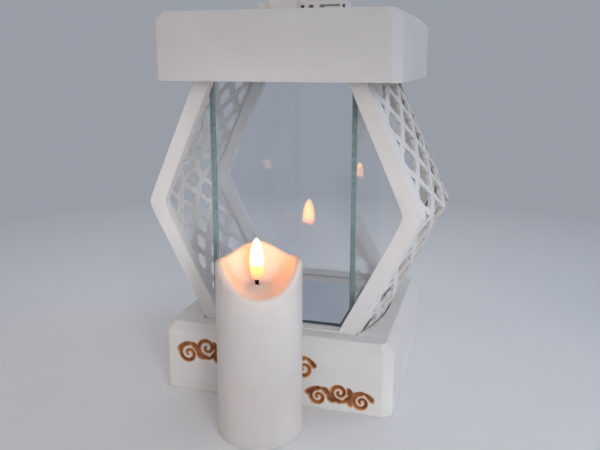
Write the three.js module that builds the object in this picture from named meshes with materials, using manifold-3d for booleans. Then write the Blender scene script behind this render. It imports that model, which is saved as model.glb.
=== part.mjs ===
// A white hexagonal lantern (block base, two hexagonal frames, bowed lattice sides, a glass box
// and a lift-off block lid) with a battery pillar candle that stands in front of it.
// Millimetres, +Z up. The origin is the middle of the lantern base's underside and the lantern's
// front faces -Y.
import * as THREE from 'three';
import { mergeVertices } from 'three/addons/utils/BufferGeometryUtils.js';
import Module from 'manifold-3d';

const wasm = await Module();
wasm.setup();

// ---- driving dimensions ----
const GAP = 0.3;              // clearance between pieces that touch
const BLOCK_W = 220;          // base and lid, along X
const BLOCK_D = 205;          // base and lid, along Y
const CHAMFER = 8;
const BASE_H = 65;
const LID_Z = 289.5;          // underside of the lid
const LID_TOP = 349;
const WALL_X = 12;            // side walls of the base and lid boxes
const WALL_Y = 19;            // front and back walls
const GROOVE_Z = 57;          // floor of the groove that holds the frames and lattices
const RECESS_Z = 303.2;       // underside of the board inside the lid

const VERTEX_Z = 175.5;       // height of the hexagon's side corners
const VERTEX_X = 129.3;       // half widths of the hexagon over its lattices
const UPPER_SLOPE = 0.443;    // how fast it narrows upwards and downwards
const LOWER_SLOPE = 0.514;
const STRIP_X = 16;           // frame strip and lattice together, measured along X
const SHEET_X = 2.8;          // lattice sheet, measured along X
const FRAME_Y = 81;           // outer face of the front and back frames
const FRAME_T = 11;
const FRAME_BAR_TOP = 66.2;   // top of the bar that lies in the base groove
const BOW = 15.4;             // how far the lattices bow out at mid depth, at the side corners
const BOW_FALL = 0.02;        // how much less they bow for each millimetre higher up

const COLUMN_PITCH = 17.6;    // spacing of the lattice's columns of holes, along Y
const ROW_PITCH = 17;         // half the spacing of holes in a column, along the slope
const RIGHT_SHIFT = -9;       // the right lattices are cut with their pattern this far forward
const LATTICE_ZONE = 72;      // the holes stop this far from mid depth
const HOLE_TIP = 12.6;        // a hole's reach to its four tips and to its round sides
const HOLE_SIDE = 9.8;

const GLASS_T = 4;
const GLASS_X = 69;           // outer faces of the side panes
const GLASS_Y = 69;           // outer faces of the front and back panes
const GLASS_TOP = 302.6;

const CANDLE_X = 4.8;
const CANDLE_Y = -145;
const CANDLE_R = 35.5;
const BOWL_Z = 125;           // floor of the bowl in the wax
const RIM_MEAN = 143.4;       // the wavy rim: mean height and its first waves
const RIM_WAVES = [11.7, -4.0, 3.4, 1.6, -0.2];
const RIM_PEAK = 113;         // degrees from +X at which the rim is highest
const WICK_SHIFT = -1.7;      // the wick stands a little left of the candle's axis

const MIRROR = { x: 55, y0: -64.5, y1: 47.5, z0: 63.8, z1: 66.8 };
const MIRROR_FIT = 0.5;       // clearance round the mirror tile in its recess
const PLATE_T = 6;            // boards that close the base and the lid
const BASE_ROOF = 47;         // top of the hollow in the base
const LID_ROOF = 337;         // top of the hollow in the lid
const CORNER_BLOCK = 24;      // glue blocks in the corners of both hollows
const SCREW_L = 20;
const SCREW_SINK = 0.2;       // how deep a screw head lies below its board's face

const RAIL = { x0: -41, x1: 45, y: 10.5, h: 12.5 };
const RAIL_SLOTS = [[0.2, 4.4], [8.5, 13.2], [19, 39], [41, 43.6]];
const RAIL_SLOT_Z = [5, 9];   // floor and roof of those slots, above the lid
const RAIL_SCREWS = { left: -35, right: 16 };
const POST = { x0: -30, x1: -2, y: 15.5, h: 40 };

const CELL = { x: 8.2, y: 4, r: 7.1, z0: 8.2, z1: 57 };
const DOOR = { x: 17.7, y0: -6.7, y1: 14.7, z0: 0.5, z1: 2.5 };
const SWITCH = { y: -18, slotX: 4.8, x0: -4.5, x1: 0.5 };

// ---- materials ----
function paint(color, roughness, metalness = 0, opacity = 1) {
  return new THREE.MeshStandardMaterial({
    color, roughness, metalness, opacity, transparent: opacity < 1,
  });
}
const whitePaint = paint(0xe9e6e3, 0.55);
const bareBoard = paint(0xb08a62, 0.8);
const steel = paint(0x9a9a9c, 0.35, 1);
const glass = paint(0xcfe3de, 0.05, 0, 0.3);
const mirror = paint(0xc9d2da, 0.05, 1);
const wax = paint(0xf6efe6, 0.6);
const whitePlastic = paint(0xe4e4e0, 0.45);
const greenBoard = paint(0x2f6b3c, 0.5);
const batteryCase = paint(0x3b3f45, 0.35, 0.3);
const flameResin = paint(0xffd58a, 0.2);
const black = paint(0x16130f, 0.7);

// ---- shared helpers ----
const group = new THREE.Group();

function add(name, geometry, material) {
  const mesh = new THREE.Mesh(geometry, material);
  mesh.name = name;
  group.add(mesh);
}

function solid(geometry) {
  const bare = geometry.clone();
  bare.deleteAttribute('normal');
  bare.deleteAttribute('uv');
  const merged = mergeVertices(bare, 1e-4);
  return new wasm.Manifold(new wasm.Mesh({
    numProp: 3,
    vertProperties: new Float32Array(merged.attributes.position.array),
    triVerts: new Uint32Array(merged.index.array),
  }));
}

function geometryOf(manifold) {
  const mesh = manifold.getMesh();
  const geometry = new THREE.BufferGeometry();
  geometry.setAttribute('position', new THREE.BufferAttribute(mesh.vertProperties, 3));
  geometry.setIndex(new THREE.BufferAttribute(mesh.triVerts, 1));
  return geometry;
}

function join(pieces) {
  return pieces.slice(1).reduce((sum, piece) => sum.add(piece), pieces[0]);
}

function box(x0, x1, y0, y1, z0, z1) {
  const geometry = new THREE.BoxGeometry(x1 - x0, y1 - y0, z1 - z0);
  return geometry.translate((x0 + x1) / 2, (y0 + y1) / 2, (z0 + z1) / 2);
}

function boxSolid(...limits) {
  return solid(box(...limits));
}

// A solid skinned over rings of equal length, closed by flat fans at both ends.
function skin(rings) {
  const count = rings[0].length;
  const points = rings.flat();
  const faces = [];
  for (let k = 0; k + 1 < rings.length; k++) {
    for (let i = 0; i < count; i++) {
      const a = k * count + i;
      const b = k * count + (i + 1) % count;
      faces.push(a, b, b + count, a, b + count, a + count);
    }
  }
  const last = (rings.length - 1) * count;
  for (let i = 1; i + 1 < count; i++) {
    faces.push(0, i + 1, i);
    faces.push(last, last + i, last + i + 1);
  }
  const geometry = new THREE.BufferGeometry();
  geometry.setAttribute('position', new THREE.Float32BufferAttribute(points.flat(), 3));
  geometry.setIndex(faces);
  return geometry;
}

function turned(profile, segments = 20) {
  const points = profile.map(([r, z]) => new THREE.Vector2(r, z));
  return new THREE.LatheGeometry(points, segments).rotateX(Math.PI / 2);
}

function closedProfile(points) {
  return [...points, points[0]];
}

function rod(radius, z0, z1, segments = 12) {
  return turned([[0, z0], [radius, z0], [radius, z1], [0, z1]], segments);
}

// A flat outline given by its corners as [x, y] pairs, raised from z0 to z1.
function prism(corners, z0, z1) {
  const shape = new THREE.Shape(corners.map(([x, y]) => new THREE.Vector2(x, y)));
  const options = { depth: z1 - z0, bevelEnabled: false };
  return new THREE.ExtrudeGeometry(shape, options).translate(0, 0, z0);
}

function octagon(width, depth, cut) {
  const x = width / 2;
  const y = depth / 2;
  return [[x - cut, -y], [x, -y + cut], [x, y - cut], [x - cut, y],
    [-x + cut, y], [-x, y - cut], [-x, -y + cut], [-x + cut, -y]];
}

// The block shape of the base and the lid: chamfered upright edges and a chamfered top.
function block(z0, z1) {
  const level = (inset, z) => octagon(BLOCK_W - 2 * inset, BLOCK_D - 2 * inset, CHAMFER - inset / 2)
    .map(([x, y]) => [x, y, z]);
  return skin([level(0, z0), level(0, z1 - CHAMFER), level(CHAMFER, z1)]);
}

// A countersunk screw that points along +Z from its head, and the hole that clears it.
function screw(length, grow = 0) {
  return turned([[0, 0], [3.6 + grow, 0], [3.6 + grow, 0.6], [1.7 + grow, 2.6],
    [1.7 + grow, length + grow], [0, length + grow + 1]], 10);
}

function corners(x, y) {
  return [['front_left', -x, -y], ['front_right', x, -y], ['back_right', x, y], ['back_left', -x, y]];
}

// ---- the hexagon ----
function hexagonX(z) {
  return z > VERTEX_Z
    ? VERTEX_X - (z - VERTEX_Z) * UPPER_SLOPE
    : VERTEX_X - (VERTEX_Z - z) * LOWER_SLOPE;
}

function bowAt(y, z) {
  const deepest = BOW - (z - VERTEX_Z) * BOW_FALL;
  return deepest * Math.max(0, 1 - (y / FRAME_Y) ** 2);
}

function hexagonOutline(inset, z0, z1, rounding) {
  const shape = new THREE.Shape();
  const x0 = hexagonX(z0) - inset;
  const x1 = hexagonX(z1) - inset;
  const x = VERTEX_X - inset;
  const low = x - rounding * LOWER_SLOPE;
  const high = x - rounding * UPPER_SLOPE;
  shape.moveTo(-x0, z0);
  shape.lineTo(x0, z0);
  shape.lineTo(low, VERTEX_Z - rounding);
  shape.quadraticCurveTo(x, VERTEX_Z, high, VERTEX_Z + rounding);
  shape.lineTo(x1, z1);
  shape.lineTo(-x1, z1);
  shape.lineTo(-high, VERTEX_Z + rounding);
  shape.quadraticCurveTo(-x, VERTEX_Z, -low, VERTEX_Z - rounding);
  return shape;
}

function hexagonFrame(side) {
  const shape = hexagonOutline(SHEET_X + GAP, GROOVE_Z + GAP, RECESS_Z - GAP, 5);
  shape.holes.push(hexagonOutline(STRIP_X, FRAME_BAR_TOP, LID_Z + 1, 2));
  const options = { depth: FRAME_T, bevelEnabled: false, curveSegments: 3 };
  const geometry = new THREE.ExtrudeGeometry(shape, options).rotateX(Math.PI / 2);
  return geometry.translate(0, side < 0 ? -FRAME_Y + FRAME_T : FRAME_Y, 0);
}

// ---- base ----
function baseGroove() {
  const steps = 12;
  const outside = (y) => hexagonX(BASE_H) + bowAt(y, BASE_H) + 1.2;
  const inside = (y) => hexagonX(GROOVE_Z) + bowAt(y, GROOVE_Z) - SHEET_X - 0.7;
  const contour = (half, edge) => {
    const ys = Array.from({ length: steps + 1 }, (_, i) => -half + (2 * half * i) / steps);
    const right = ys.map((y) => [edge(y), y]);
    return [...right, ...right.toReversed().map(([x, y]) => [-x, y])];
  };
  const outer = solid(prism(contour(FRAME_Y + 0.8, outside), GROOVE_Z, BASE_H + 1));
  const inner = solid(prism(contour(GLASS_Y + 0.6, inside), GROOVE_Z - 1, BASE_H + 2));
  return outer.subtract(inner);
}

function hollowLimits(grow) {
  const x = BLOCK_W / 2 - WALL_X + grow;
  const y = BLOCK_D / 2 - WALL_Y + grow;
  return [-x, x, -y, y];
}

function placedScrew(x, y, z, grow) {
  return solid(screw(SCREW_L, grow).translate(x, y, z));
}

function cornerScrews(z, grow) {
  const [, x, , y] = hollowLimits(-GAP - CORNER_BLOCK / 2);
  return corners(x, y).map(([name, sx, sy]) => [name, placedScrew(sx, sy, z, grow)]);
}

// A board in the hollow block, with a glue block over each corner and a screw through both.
function boardAndCorners(owner, boardName, boardPaint, z0, z1) {
  const half = CORNER_BLOCK / 2;
  const [, x, , y] = hollowLimits(-GAP - half);
  const screwZ = z0 + SCREW_SINK;
  const board = boxSolid(...hollowLimits(-GAP), z0, z0 + PLATE_T);
  const holes = cornerScrews(screwZ, GAP).map(([, hole]) => hole);
  add(boardName, geometryOf(board.subtract(join(holes))), boardPaint);
  for (const [i, [name, cx, cy]] of corners(x, y).entries()) {
    const piece = boxSolid(cx - half, cx + half, cy - half, cy + half, z0 + PLATE_T + GAP, z1);
    add(`${owner}_glue_block_${name}`, geometryOf(piece.subtract(holes[i])), bareBoard);
  }
  for (const [name, piece] of cornerScrews(screwZ, 0)) {
    add(`${owner}_screw_${name}`, geometryOf(piece), steel);
  }
}

function makeBase() {
  const shell = solid(block(0, BASE_H))
    .subtract(boxSolid(...hollowLimits(0), -1, BASE_ROOF))
    .subtract(baseGroove())
    .subtract(boxSolid(-MIRROR.x - MIRROR_FIT, MIRROR.x + MIRROR_FIT, MIRROR.y0 - MIRROR_FIT,
      MIRROR.y1 + MIRROR_FIT, MIRROR.z0 - GAP, BASE_H + 1));
  add('base_block', geometryOf(shell), whitePaint);
  boardAndCorners('base', 'base_bottom_plate', bareBoard, 0, BASE_ROOF - GAP);
  add('mirror_tile', box(-MIRROR.x, MIRROR.x, MIRROR.y0, MIRROR.y1, MIRROR.z0, MIRROR.z1), mirror);
}

// ---- frames, lattices and glass ----
// A lattice sheet follows the hexagon's slope upwards and bows out between the two frames.
function latticeSheet(side, z0, z1) {
  const steps = 8;
  const ring = (z) => {
    const ys = Array.from({ length: steps + 1 }, (_, i) => -FRAME_Y + (2 * FRAME_Y * i) / steps);
    const outer = ys.map((y) => [side * (hexagonX(z) + bowAt(y, z)), y, z]);
    const inner = ys.map((y) => [side * (hexagonX(z) + bowAt(y, z) - SHEET_X), y, z]).reverse();
    return [...outer, ...inner];
  };
  const rings = [ring(z0), ring(z1)].map((r) => (side < 0 ? r.toReversed() : r));
  return latticeSkin(rings, steps + 1);
}

// The sheet's ends are bowed strips, so they are closed by quads and not by a fan.
function latticeSkin([low, high], columns) {
  const count = low.length;
  const faces = [];
  for (let i = 0; i < count; i++) {
    const j = (i + 1) % count;
    faces.push(i, j, j + count, i, j + count, i + count);
  }
  for (let i = 0; i + 1 < columns; i++) {
    const far = count - 1 - i;
    faces.push(i, far - 1, i + 1, i, far, far - 1);
    faces.push(i + count, i + 1 + count, far - 1 + count);
    faces.push(i + count, far - 1 + count, far + count);
  }
  const geometry = new THREE.BufferGeometry();
  geometry.setAttribute('position', new THREE.Float32BufferAttribute([...low, ...high].flat(), 3));
  geometry.setIndex(faces);
  return geometry;
}

// One pierced cell: a four-tipped outline with full sides, cut straight through along X.
function latticeHole(side, y, rise, slope, up) {
  const outline = [];
  for (let k = 0; k < 8; k++) {
    const reach = k % 2 === 0 ? HOLE_TIP : HOLE_SIDE;
    const angle = (k * Math.PI) / 4;
    const along = rise + reach * Math.sin(angle);
    const z = VERTEX_Z + up * along / Math.hypot(1, slope);
    outline.push(new THREE.Vector2(y + reach * Math.cos(angle), z));
  }
  const depth = VERTEX_X;
  const options = { depth, bevelEnabled: false };
  const geometry = new THREE.ExtrudeGeometry(new THREE.Shape(outline), options);
  geometry.applyMatrix4(new THREE.Matrix4().makeBasis(
    new THREE.Vector3(0, 1, 0), new THREE.Vector3(0, 0, 1), new THREE.Vector3(1, 0, 0)));
  const middle = side * (depth / 2 + CANDLE_R);
  return solid(geometry.translate(middle - depth / 2, 0, 0));
}

function lattice(side, up) {
  const slope = up > 0 ? UPPER_SLOPE : LOWER_SLOPE;
  const top = up > 0 ? RECESS_Z - GAP : VERTEX_Z - GAP / 2;
  const bottom = up > 0 ? VERTEX_Z + GAP / 2 : GROOVE_Z + GAP;
  const length = (up > 0 ? LID_Z - VERTEX_Z : VERTEX_Z - BASE_H) * Math.hypot(1, slope);
  const shift = side > 0 ? RIGHT_SHIFT : 0;
  const holes = [];
  for (let column = -4; column <= 4; column++) {
    const first = column % 2 === 0 ? 0 : ROW_PITCH;
    for (let rise = first; rise < length + HOLE_SIDE; rise += 2 * ROW_PITCH) {
      holes.push(latticeHole(side, shift + column * COLUMN_PITCH, rise, slope, up));
    }
  }
  const zone = boxSolid(-200, 200, -LATTICE_ZONE, LATTICE_ZONE, 0, LID_TOP);
  return geometryOf(solid(latticeSheet(side, bottom, top)).subtract(join(holes).intersect(zone)));
}

function makeBody() {
  add('front_frame', hexagonFrame(-1), whitePaint);
  add('back_frame', hexagonFrame(1), whitePaint);
  for (const [sideName, side] of [['left', -1], ['right', 1]]) {
    add(`lattice_upper_${sideName}`, lattice(side, 1), whitePaint);
    add(`lattice_lower_${sideName}`, lattice(side, -1), whitePaint);
    const inner = GLASS_X - GLASS_T;
    const [x0, x1] = side < 0 ? [-GLASS_X, -inner] : [inner, GLASS_X];
    add(`glass_${sideName}`, box(x0, x1, -GLASS_Y, GLASS_Y, BASE_H + GAP, GLASS_TOP), glass);
  }
  const x = GLASS_X - GLASS_T - GAP;
  for (const [name, y0] of [['front', -GLASS_Y], ['back', GLASS_Y - GLASS_T]]) {
    add(`glass_${name}`, box(-x, x, y0, y0 + GLASS_T, BASE_H + GAP, GLASS_TOP), glass);
  }
}

// ---- lid ----
function railScrew(x, grow) {
  return placedScrew(x, 0, LID_ROOF - 0.5, grow);
}

function railScrewHoles() {
  return join(Object.values(RAIL_SCREWS).map((x) => railScrew(x, GAP)));
}

function makeLid() {
  const shell = solid(block(LID_Z, LID_TOP))
    .subtract(boxSolid(...hollowLimits(0), LID_Z - 1, LID_ROOF))
    .subtract(railScrewHoles());
  add('lid_block', geometryOf(shell), whitePaint);
  boardAndCorners('lid', 'lid_inner_board', whitePaint, RECESS_Z, LID_ROOF - GAP);
}

function makeHandle() {
  const z = LID_TOP + GAP;
  let rail = boxSolid(RAIL.x0, RAIL.x1, -RAIL.y, RAIL.y, z, z + RAIL.h);
  for (const [x0, x1] of RAIL_SLOTS) {
    const [floor, roof] = RAIL_SLOT_Z;
    rail = rail.subtract(boxSolid(x0, x1, -RAIL.y - 1, RAIL.y + 1, z + floor, z + roof));
  }
  add('handle_rail', geometryOf(rail.subtract(railScrewHoles())), whitePaint);
  const notch = boxSolid(POST.x0 - 1, POST.x1 + 1, -RAIL.y - GAP, RAIL.y + GAP,
    z - 1, z + RAIL.h + GAP);
  const post = boxSolid(POST.x0, POST.x1, -POST.y, POST.y, z, z + POST.h).subtract(notch);
  add('handle_post', geometryOf(post), whitePaint);
  for (const [name, x] of Object.entries(RAIL_SCREWS)) {
    add(`handle_screw_${name}`, geometryOf(railScrew(x, 0)), steel);
  }
}

// ---- candle ----
function rimHeight(angle) {
  const turn = angle - THREE.MathUtils.degToRad(RIM_PEAK);
  return RIM_WAVES.reduce((sum, wave, k) => sum + wave * Math.cos((k + 1) * turn), RIM_MEAN);
}

// The wax's section at one angle, as a closed loop of [radius, height].
function waxSection(angle) {
  const rim = rimHeight(angle);
  const rise = rim - BOWL_Z;
  return [
    [CANDLE_R - 0.8, 0], [CANDLE_R, 0.8], [CANDLE_R, rim - 2], [CANDLE_R - 1, rim - 0.4],
    [CANDLE_R - 2.4, rim], [CANDLE_R - 4.6, rim - 1 - rise * 0.06], [26, BOWL_Z + rise * 0.55],
    [19, BOWL_Z + rise * 0.18], [12, BOWL_Z + rise * 0.03], [5.2, BOWL_Z],
    [5.2, 100], [30.3, 100], [30.3, 0],
  ];
}

function waxBody() {
  const around = 36;
  const sections = Array.from({ length: around }, (_, i) => {
    const angle = (2 * Math.PI * i) / around;
    return waxSection(angle).map(([r, z]) => [r * Math.cos(angle), r * Math.sin(angle), z]);
  });
  const count = sections[0].length;
  const faces = [];
  for (let i = 0; i < around; i++) {
    const here = i * count;
    const next = ((i + 1) % around) * count;
    for (let k = 0; k < count; k++) {
      const up = (k + 1) % count;
      faces.push(here + k, next + k, next + up, here + k, next + up, here + up);
    }
  }
  const geometry = new THREE.BufferGeometry();
  geometry.setAttribute('position', new THREE.Float32BufferAttribute(sections.flat(2), 3));
  geometry.setIndex(faces);
  return geometry;
}

function coilSpring(x, y, z0, z1) {
  const turns = 3;
  const points = [];
  for (let i = 0; i <= turns * 8; i++) {
    const t = i / (turns * 8);
    const radius = 4 - 1.4 * t;
    const angle = 2 * Math.PI * turns * t;
    points.push(new THREE.Vector3(x + radius * Math.cos(angle), y + radius * Math.sin(angle),
      z0 + (z1 - z0) * t));
  }
  const section = new THREE.Shape();
  section.absarc(0, 0, 0.4, 0, 2 * Math.PI);
  const path = new THREE.CatmullRomCurve3(points);
  const options = { steps: turns * 9, extrudePath: path, bevelEnabled: false, curveSegments: 2 };
  return new THREE.ExtrudeGeometry(section, options);
}

function batteryCell(x) {
  const shift = CELL.x * x;
  const profile = [[0, CELL.z0], [CELL.r - 0.6, CELL.z0], [CELL.r, CELL.z0 + 0.6],
    [CELL.r, CELL.z1 - 1], [CELL.r - 0.8, CELL.z1 - 0.2], [2.7, CELL.z1 - 0.2],
    [2.7, CELL.z1 + 1.2], [0, CELL.z1 + 1.2]];
  return turned(profile, 16).translate(shift, CELL.y, 0);
}

function batteryCradle() {
  const x = CELL.x + CELL.r + 2;
  const y = CELL.r + 2;
  let cradle = boxSolid(-x, x, CELL.y - y, CELL.y + y, 5, 56);
  for (const side of [-1, 1]) {
    const bore = rod(CELL.r + 0.5, 4, 57, 20).translate(side * CELL.x, CELL.y, 0);
    cradle = cradle.subtract(solid(bore));
  }
  return geometryOf(cradle);
}

function bottomCap() {
  return geometryOf(solid(rod(30, 0.4, 3, 36))
    .subtract(boxSolid(-DOOR.x - GAP, DOOR.x + GAP, DOOR.y0 - GAP, DOOR.y1 + GAP, 0, 4))
    .subtract(boxSolid(-SWITCH.slotX, SWITCH.slotX, SWITCH.y - 1.8, SWITCH.y + 1.8, 0, 4)));
}

function flameShape() {
  return turned([[0, 131.9], [2, 131.9], [3.6, 134], [5.2, 138], [6.1, 144], [6.1, 148.5],
    [5.4, 154], [4, 159.5], [2.2, 163.8], [0.9, 165.8], [0, 166.4]], 20);
}

function makeCandle() {
  const cell = (name, geometry, material) => {
    add(name, geometry.translate(CANDLE_X, CANDLE_Y, 0), material);
  };
  cell('wax_body', waxBody(), wax);
  cell('core_housing', turned(closedProfile([[29.8, 3.4], [29.8, 96], [4.8, 96], [4.8, 123.4],
    [3, 123.4], [3, 94], [28, 94], [28, 3.4]]), 32), whitePlastic);
  cell('bottom_cap', bottomCap(), whitePlastic);
  cell('battery_door', box(-DOOR.x, DOOR.x, DOOR.y0, DOOR.y1, DOOR.z0, DOOR.z1), whitePlastic);
  cell('battery_cradle', batteryCradle(), whitePlastic);
  for (const [name, side] of [['left', -1], ['right', 1]]) {
    cell(`contact_spring_${name}`, coilSpring(side * CELL.x, CELL.y, 3.3, 7.3), steel);
    cell(`battery_cell_${name}`, batteryCell(side), batteryCase);
    cell(`led_lead_${name}`, rod(0.4, 67.7, 115.7, 8).translate(side * 1.2, 0, 0), steel);
  }
  cell('contact_strip', box(-13, 13, CELL.y - 4, CELL.y + 4, 58.6, 59.2), steel);
  cell('circuit_board', box(-14, 14, -10, 10, 66, 67.4), greenBoard);
  cell('switch_slider', box(SWITCH.x0, SWITCH.x1, SWITCH.y - 1.5, SWITCH.y + 1.5, 0.6, 4.2), black);
  cell('switch_body', box(-7, 7, SWITCH.y - 3, SWITCH.y + 3, 4.6, 9), black);
  cell('led_lamp', turned([[0, 116], [2.6, 116], [2.6, 120.5], [1.8, 122.6], [0, 123.3]], 12),
    flameResin);
  cell('wick', rod(1.9, 123.8, 131.6, 10).translate(WICK_SHIFT, 0, 0), black);
  cell('flame', flameShape().translate(WICK_SHIFT, 0, 0), flameResin);
}

makeBase();
makeBody();
makeLid();
makeHandle();
makeCandle();

export default group;
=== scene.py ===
"""A white hexagonal unity-candle lantern: carved block base, two hexagonal frames, bowed pierced
sides, a glass box over a mirror tile, a lift-off lid, and a battery pillar candle in front."""
import math

import bmesh
import bpy
from mathutils import Matrix, Vector


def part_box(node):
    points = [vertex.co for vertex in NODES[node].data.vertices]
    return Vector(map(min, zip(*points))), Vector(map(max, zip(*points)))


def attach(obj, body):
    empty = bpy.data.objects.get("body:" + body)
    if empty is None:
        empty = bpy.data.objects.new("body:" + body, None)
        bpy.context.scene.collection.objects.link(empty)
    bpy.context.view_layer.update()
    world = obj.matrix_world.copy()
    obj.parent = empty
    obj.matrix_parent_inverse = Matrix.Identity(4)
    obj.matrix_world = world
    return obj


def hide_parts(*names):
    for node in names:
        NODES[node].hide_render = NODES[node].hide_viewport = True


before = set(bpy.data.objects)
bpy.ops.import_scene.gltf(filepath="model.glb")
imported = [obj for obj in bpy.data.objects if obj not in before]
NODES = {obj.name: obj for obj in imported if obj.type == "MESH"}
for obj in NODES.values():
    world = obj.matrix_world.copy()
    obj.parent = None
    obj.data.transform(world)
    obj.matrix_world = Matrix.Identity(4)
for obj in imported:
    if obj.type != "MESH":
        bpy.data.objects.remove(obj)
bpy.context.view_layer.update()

MM = 0.001

# ---- camera ----
CAMERA_AT = (0.1823, -0.6298, 0.3079)
CAMERA_YAW = 16.385
CAMERA_PITCH = -11.181
LENS = 39.65
SHIFT_Y = -0.0583


def make_camera():
    data = bpy.data.cameras.new("camera")
    data.lens = LENS
    data.sensor_width = 36
    data.shift_y = SHIFT_Y
    data.clip_start = 0.01
    data.clip_end = 50
    camera = bpy.data.objects.new("camera", data)
    camera.location = CAMERA_AT
    camera.rotation_euler = (math.radians(90 + CAMERA_PITCH), 0, math.radians(CAMERA_YAW))
    bpy.context.scene.collection.objects.link(camera)
    bpy.context.scene.camera = camera


make_camera()


# ---- materials ----
class Nodes:
    """A material under construction: its node tree, its Principled shader and small helpers."""

    def __init__(self, name, base, roughness, **sockets):
        self.material = bpy.data.materials.new(name)
        self.material.use_nodes = True
        self.tree = self.material.node_tree
        self.shader = self.tree.nodes["Principled BSDF"]
        self.coordinates = self.new("TexCoord")
        self.set("Base Color", (*base, 1))
        self.set("Roughness", roughness)
        for socket, value in sockets.items():
            self.set(socket.replace("_", " "), value)

    def set(self, socket, value):
        self.shader.inputs[socket].default_value = value

    def link(self, source, target):
        self.tree.links.new(source, target)

    def new(self, kind, **inputs):
        """A shader node with constant values on some of its sockets."""
        node = self.tree.nodes.new("ShaderNode" + kind)
        for name, value in inputs.items():
            node.inputs[name.replace("_", " ")].default_value = value
        return node

    def place(self, stretch=(1, 1, 1)):
        """Object coordinates, stretched."""
        mapping = self.new("Mapping", Scale=stretch)
        self.link(self.coordinates.outputs["Object"], mapping.inputs["Vector"])
        return mapping.outputs["Vector"]

    def noise(self, scale, detail=3, stretch=(1, 1, 1)):
        node = self.new("TexNoise", Scale=scale, Detail=detail)
        self.link(self.place(stretch), node.inputs["Vector"])
        return node.outputs["Fac"]

    def ramp(self, source, *stops):
        """A colour ramp from (position, colour) stops."""
        node = self.new("ValToRGB")
        points = node.color_ramp.elements
        while len(points) < len(stops):
            points.new(0.5)
        for point, (position, colour) in zip(points, stops):
            point.position = position
            point.color = (*colour, 1)
        self.link(source, node.inputs["Fac"])
        return node.outputs["Color"]

    def span(self, source, low, high, to_low, to_high):
        """Carries the range low..high over to to_low..to_high, and holds it there outside."""
        node = self.new("MapRange")
        for k, value in enumerate((low, high, to_low, to_high), start=1):
            node.inputs[k].default_value = value
        self.link(source, node.inputs[0])
        return node.outputs[0]

    def mix(self, factor, first, second):
        """Mixes two colours; each value is a number, a colour or another node's socket."""
        node = self.new("Mix")
        node.data_type = "RGBA"
        for socket, value in ((0, factor), (6, first), (7, second)):
            if isinstance(value, bpy.types.NodeSocket):
                self.link(value, node.inputs[socket])
            else:
                node.inputs[socket].default_value = value if socket == 0 else (*value, 1)
        return node.outputs[2]

    def attribute(self, name):
        """A value stored at the mesh's points."""
        node = self.new("Attribute")
        node.attribute_name = name
        return node.outputs["Fac"]

    def height(self):
        """The object's own Z, in metres."""
        split = self.new("SeparateXYZ")
        self.link(self.place(), split.inputs[0])
        return split.outputs["Z"]

    def bump(self, source, distance):
        """Adds relief of a height in metres on top of any relief already there."""
        node = self.new("Bump", Strength=1.0, Distance=distance)
        self.link(source, node.inputs["Height"])
        if self.shader.inputs["Normal"].links:
            self.link(self.shader.inputs["Normal"].links[0].from_socket, node.inputs["Normal"])
        self.link(node.outputs["Normal"], self.shader.inputs["Normal"])

    def colour(self, source):
        self.link(source, self.shader.inputs["Base Color"])

    def roughness(self, source):
        self.link(source, self.shader.inputs["Roughness"])


BACKDROP = (0.315, 0.338, 0.385)
WHITE = (0.74, 0.715, 0.69)
WHITE_WORN = (0.69, 0.665, 0.64)
SCORCH_EDGE = (0.62, 0.27, 0.07)
SCORCH = (0.15, 0.034, 0.007)


def paint_material(name, scorched=False):
    """Satin white paint rolled over board: faint mottling, roller stipple and a few dull spots."""
    m = Nodes(name, WHITE, 0.5)
    mottle = m.span(m.noise(9, 4), 0.38, 0.66, 0, 1)
    base = m.mix(mottle, WHITE, WHITE_WORN)
    drag = m.span(m.noise(60, 3, (0.25, 1, 1)), 0.35, 0.75, 0, 0.35)
    base = m.mix(drag, base, (0.80, 0.78, 0.76))
    if scorched:
        burn = m.attribute("burn")
        grain = m.noise(190, 5)
        edge = m.mix(m.span(grain, 0.3, 0.7, 0, 0.6), SCORCH_EDGE, (0.66, 0.34, 0.13))
        uneven = m.span(m.noise(110, 4), 0.42, 0.66, 0, 0.85)
        core = m.mix(uneven, SCORCH, (0.46, 0.17, 0.045))
        base = m.mix(m.span(burn, 0.05, 0.45, 0, 1), base, edge)
        base = m.mix(m.span(burn, 0.5, 0.85, 0, 1), base, core)
    m.colour(base)
    m.roughness(m.span(m.noise(35, 3), 0.3, 0.7, 0.42, 0.6))
    m.bump(m.noise(900, 2), 0.00012)
    m.bump(m.noise(70, 3, (0.3, 1, 1)), 0.0003)
    return m.material


def hole_wall_shade_material():
    """The walls of the pierced holes, in a darker, greyer white: painted shade for the shadow inside
    the holes.
    """
    m = Nodes("white_paint_shaded_walls", (0.66, 0.64, 0.61), 0.65)
    shaded_walls = m.mix(m.span(m.noise(60, 4), 0.35, 0.7, 0, 1), (0.70, 0.675, 0.645), (0.60, 0.575, 0.54))
    m.colour(shaded_walls)
    m.roughness(m.span(m.noise(90), 0.3, 0.7, 0.6, 0.8))
    m.bump(m.noise(800, 3), 0.0001)
    return m.material


def board_material():
    """Bare fibreboard: pale brown with fine flecks and darker drifts."""
    m = Nodes("bare_board", (0.47, 0.33, 0.21), 0.85)
    flecks = m.ramp(m.noise(700, 4), (0.3, (0.30, 0.20, 0.12)), (0.55, (0.50, 0.36, 0.23)),
                    (0.8, (0.62, 0.47, 0.32)))
    m.colour(m.mix(m.span(m.noise(14, 3), 0.4, 0.7, 0, 0.45), flecks, (0.36, 0.25, 0.16)))
    m.roughness(m.span(m.noise(120), 0.3, 0.7, 0.75, 0.95))
    m.bump(m.noise(900, 3), 0.0002)
    return m.material


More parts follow.
